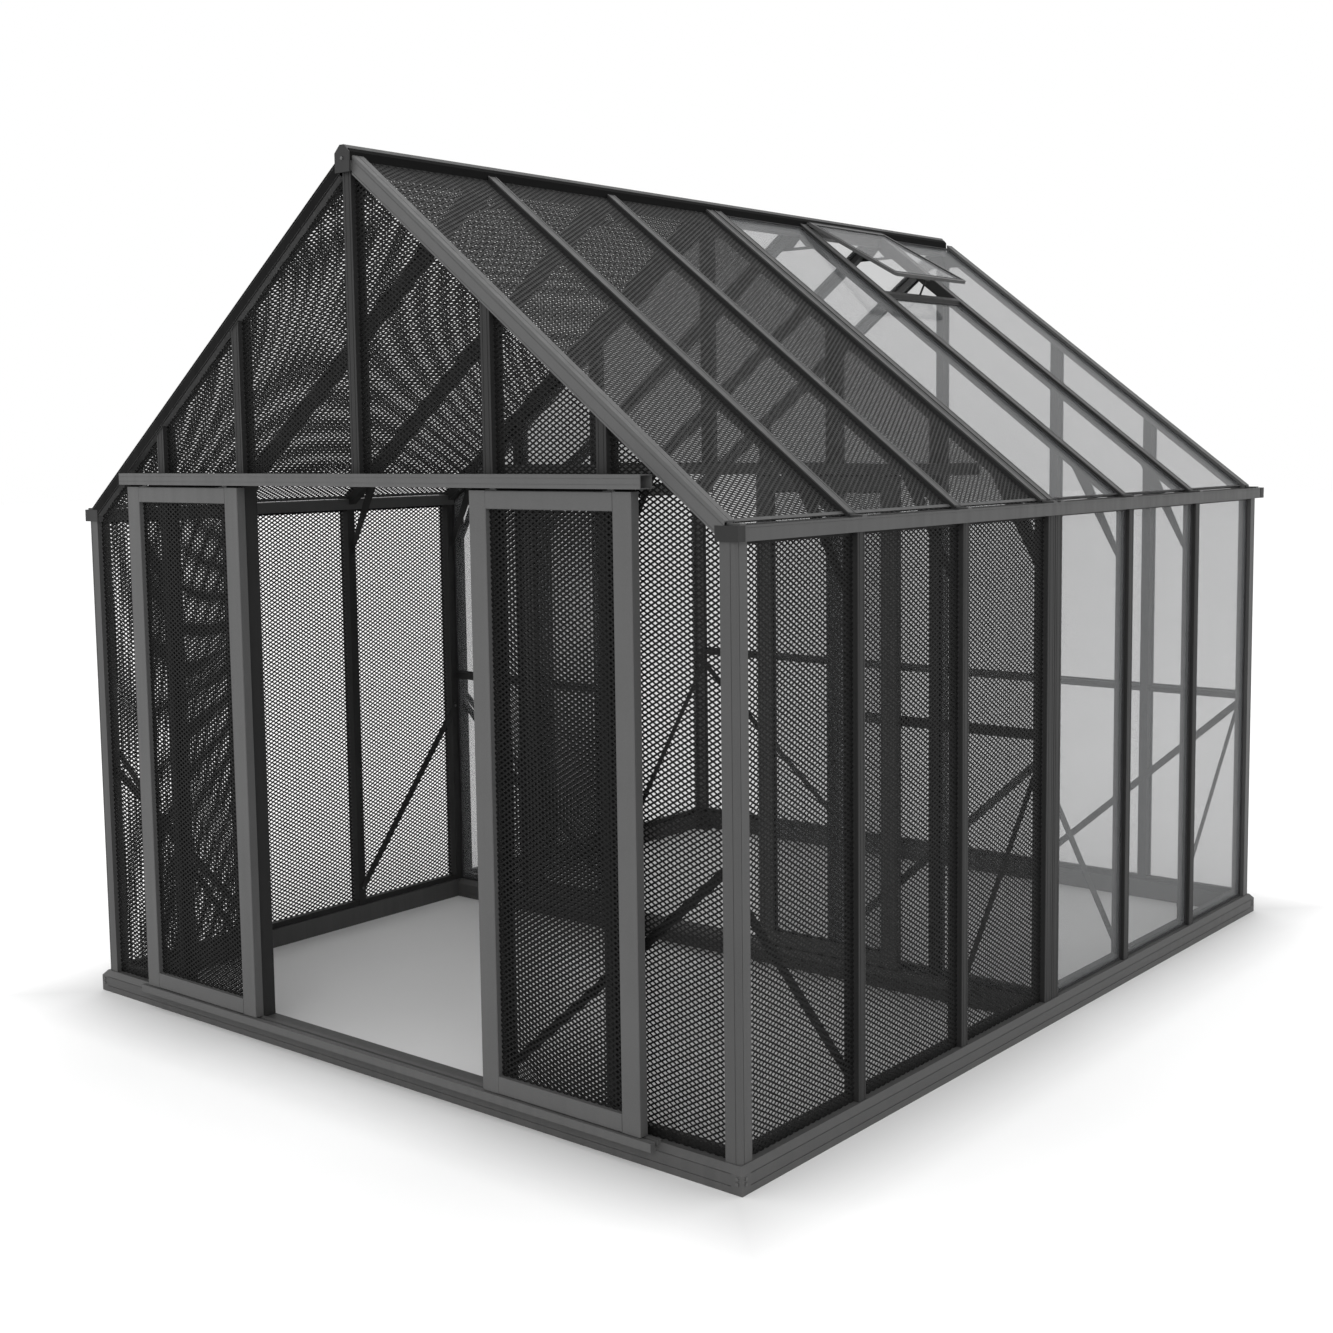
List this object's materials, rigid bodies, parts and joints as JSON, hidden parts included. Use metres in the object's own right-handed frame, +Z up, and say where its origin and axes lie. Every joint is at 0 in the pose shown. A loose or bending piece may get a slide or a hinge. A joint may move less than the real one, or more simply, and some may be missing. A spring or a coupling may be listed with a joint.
{
  "type": "walk-in greenhouse",
  "caption": "Pitched-roof walk-in greenhouse on a base ring, with a meshed front room, a glazed back room, sliding double doors at the front and in the partition, and an opening roof vent.",
  "frame": {"origin": "centre of the base's footprint, on the ground", "axes": "+Z up, -Y out of the front doors along the ridge, +X across to the side with the roof vent"},
  "size_m": [3.186, 3.888, 3.104],
  "materials": {
    "frame_metal": "charcoal satin powder coat",
    "stud_metal": "dark charcoal satin powder coat",
    "door_metal": "mid grey satin powder coat",
    "mesh_metal": "black powder-coated expanded metal",
    "glazing": "clear toughened glass",
    "bolt_steel": "dark zinc-nickel plate, dulled",
    "roller_nylon": "moulded nylon",
    "buffer_rubber": "moulded rubber"
  },
  "bodies": {
    "frame": {"base_front": "frame_metal", "base_back": "frame_metal", "base_sides": "frame_metal", "base_corners": "frame_metal", "base_partition": "frame_metal", "corner_posts": "frame_metal", "mid_posts": "stud_metal", "side_studs": "stud_metal", "panel_sills": "stud_metal", "gutter_left": "frame_metal", "gutter_right": "frame_metal", "end_caps": "stud_metal", "ridge_beam": "frame_metal", "gable_rafters": "frame_metal", "mid_rafters": "stud_metal", "rafter_caps": "frame_metal", "rafter_clips": "frame_metal", "gable_studs_front": "stud_metal", "gable_studs_inner": "stud_metal", "gable_studs_back": "stud_metal", "cross_rails": "stud_metal", "header_track_front": "door_metal", "header_track_inner": "door_metal", "bottom_tracks": "door_metal", "door_stops": "buffer_rubber", "knee_braces": "stud_metal", "ridge_gussets": "stud_metal", "wall_braces": "stud_metal", "frame_bolts": "bolt_steel", "mesh_walls": "mesh_metal", "mesh_roof": "mesh_metal", "mesh_gable_front": "mesh_metal", "glass_walls": "glazing", "glass_roof": "glazing", "glass_gable_back": "glazing", "glass_inner_wall": "glazing", "vent_frame": "stud_metal"},
    "vent": {"vent_sash": "door_metal", "vent_glass": "glazing"},
    "vent_stay": {"vent_stay": "stud_metal"},
    "front_left_door": {"front_left_door_frame": "door_metal", "front_left_door_mesh": "mesh_metal", "front_left_door_fittings": "bolt_steel"},
    "front_left_roller_a": {"front_left_roller_a": "roller_nylon"},
    "front_left_roller_b": {"front_left_roller_b": "roller_nylon"},
    "front_right_door": {"front_right_door_frame": "door_metal", "front_right_door_mesh": "mesh_metal", "front_right_door_fittings": "bolt_steel"},
    "front_right_roller_a": {"front_right_roller_a": "roller_nylon"},
    "front_right_roller_b": {"front_right_roller_b": "roller_nylon"},
    "inner_left_door": {"inner_left_door_frame": "door_metal", "inner_left_door_glass": "glazing", "inner_left_door_fittings": "bolt_steel"},
    "inner_left_roller_a": {"inner_left_roller_a": "roller_nylon"},
    "inner_left_roller_b": {"inner_left_roller_b": "roller_nylon"},
    "inner_right_door": {"inner_right_door_frame": "door_metal", "inner_right_door_glass": "glazing", "inner_right_door_fittings": "bolt_steel"},
    "inner_right_roller_a": {"inner_right_roller_a": "roller_nylon"},
    "inner_right_roller_b": {"inner_right_roller_b": "roller_nylon"}
  },
  "joints": [
    {"name": "front_left_door_slide", "type": "slide", "parent": "frame", "child": "front_left_door", "axis": [1, 0, 0], "range_m": [-0.018, 0.586]},
    {"name": "front_left_roller_a_spin", "type": "hinge", "parent": "front_left_door", "child": "front_left_roller_a", "pos_m": [-1.156, -1.913, 2.019], "axis": [0, 1, 0], "range_deg": [-85, 2461]},
    {"name": "front_left_roller_b_spin", "type": "hinge", "parent": "front_left_door", "child": "front_left_roller_b", "pos_m": [-0.677, -1.913, 2.019], "axis": [0, 1, 0], "range_deg": [-85, 2461]},
    {"name": "front_right_door_slide", "type": "slide", "parent": "frame", "child": "front_right_door", "axis": [1, 0, 0], "range_m": [-0.569, 0.035]},
    {"name": "front_right_roller_a_spin", "type": "hinge", "parent": "front_right_door", "child": "front_right_roller_a", "pos_m": [0.66, -1.913, 2.019], "axis": [0, 1, 0], "range_deg": [-2390, 156]},
    {"name": "front_right_roller_b_spin", "type": "hinge", "parent": "front_right_door", "child": "front_right_roller_b", "pos_m": [1.139, -1.913, 2.019], "axis": [0, 1, 0], "range_deg": [-2390, 156]},
    {"name": "inner_left_door_slide", "type": "slide", "parent": "frame", "child": "inner_left_door", "axis": [1, 0, 0], "range_m": [-0.24, 0.364]},
    {"name": "inner_left_roller_a_spin", "type": "hinge", "parent": "inner_left_door", "child": "inner_left_roller_a", "pos_m": [-0.934, -0.0505, 2.019], "axis": [0, 1, 0], "range_deg": [-1014, 1532]},
    {"name": "inner_left_roller_b_spin", "type": "hinge", "parent": "inner_left_door", "child": "inner_left_roller_b", "pos_m": [-0.455, -0.0505, 2.019], "axis": [0, 1, 0], "range_deg": [-1014, 1532]},
    {"name": "inner_right_door_slide", "type": "slide", "parent": "frame", "child": "inner_right_door", "axis": [1, 0, 0], "range_m": [-0.285, 0.319]},
    {"name": "inner_right_roller_a_spin", "type": "hinge", "parent": "inner_right_door", "child": "inner_right_roller_a", "pos_m": [0.376, -0.0505, 2.019], "axis": [0, 1, 0], "range_deg": [-1202, 1344]},
    {"name": "inner_right_roller_b_spin", "type": "hinge", "parent": "inner_right_door", "child": "inner_right_roller_b", "pos_m": [0.855, -0.0505, 2.019], "axis": [0, 1, 0], "range_deg": [-1202, 1344]},
    {"name": "vent_hinge", "type": "hinge", "parent": "frame", "child": "vent", "pos_m": [0.044, 0.945, 3.07], "axis": [0, -1, 0], "range_deg": [-8.5, 36.5]},
    {"name": "vent_stay_pivot", "type": "hinge", "parent": "vent", "child": "vent_stay", "pos_m": [0.45324, 0.945, 2.83058], "axis": [0, -1, 0], "range_deg": [-36.5, 8.5]}
  ],
  "couplings": [
    {"joint": "front_left_roller_a_spin", "follows": "front_left_door_slide", "rad_per_m": 72.993},
    {"joint": "front_left_roller_b_spin", "follows": "front_left_door_slide", "rad_per_m": 72.993},
    {"joint": "front_right_roller_a_spin", "follows": "front_right_door_slide", "rad_per_m": 72.993},
    {"joint": "front_right_roller_b_spin", "follows": "front_right_door_slide", "rad_per_m": 72.993},
    {"joint": "inner_left_roller_a_spin", "follows": "inner_left_door_slide", "rad_per_m": 72.993},
    {"joint": "inner_left_roller_b_spin", "follows": "inner_left_door_slide", "rad_per_m": 72.993},
    {"joint": "inner_right_roller_a_spin", "follows": "inner_right_door_slide", "rad_per_m": 72.993},
    {"joint": "inner_right_roller_b_spin", "follows": "inner_right_door_slide", "rad_per_m": 72.993},
    {"joint": "vent_stay_pivot", "follows": "vent_hinge", "ratio": -1}
  ]
}
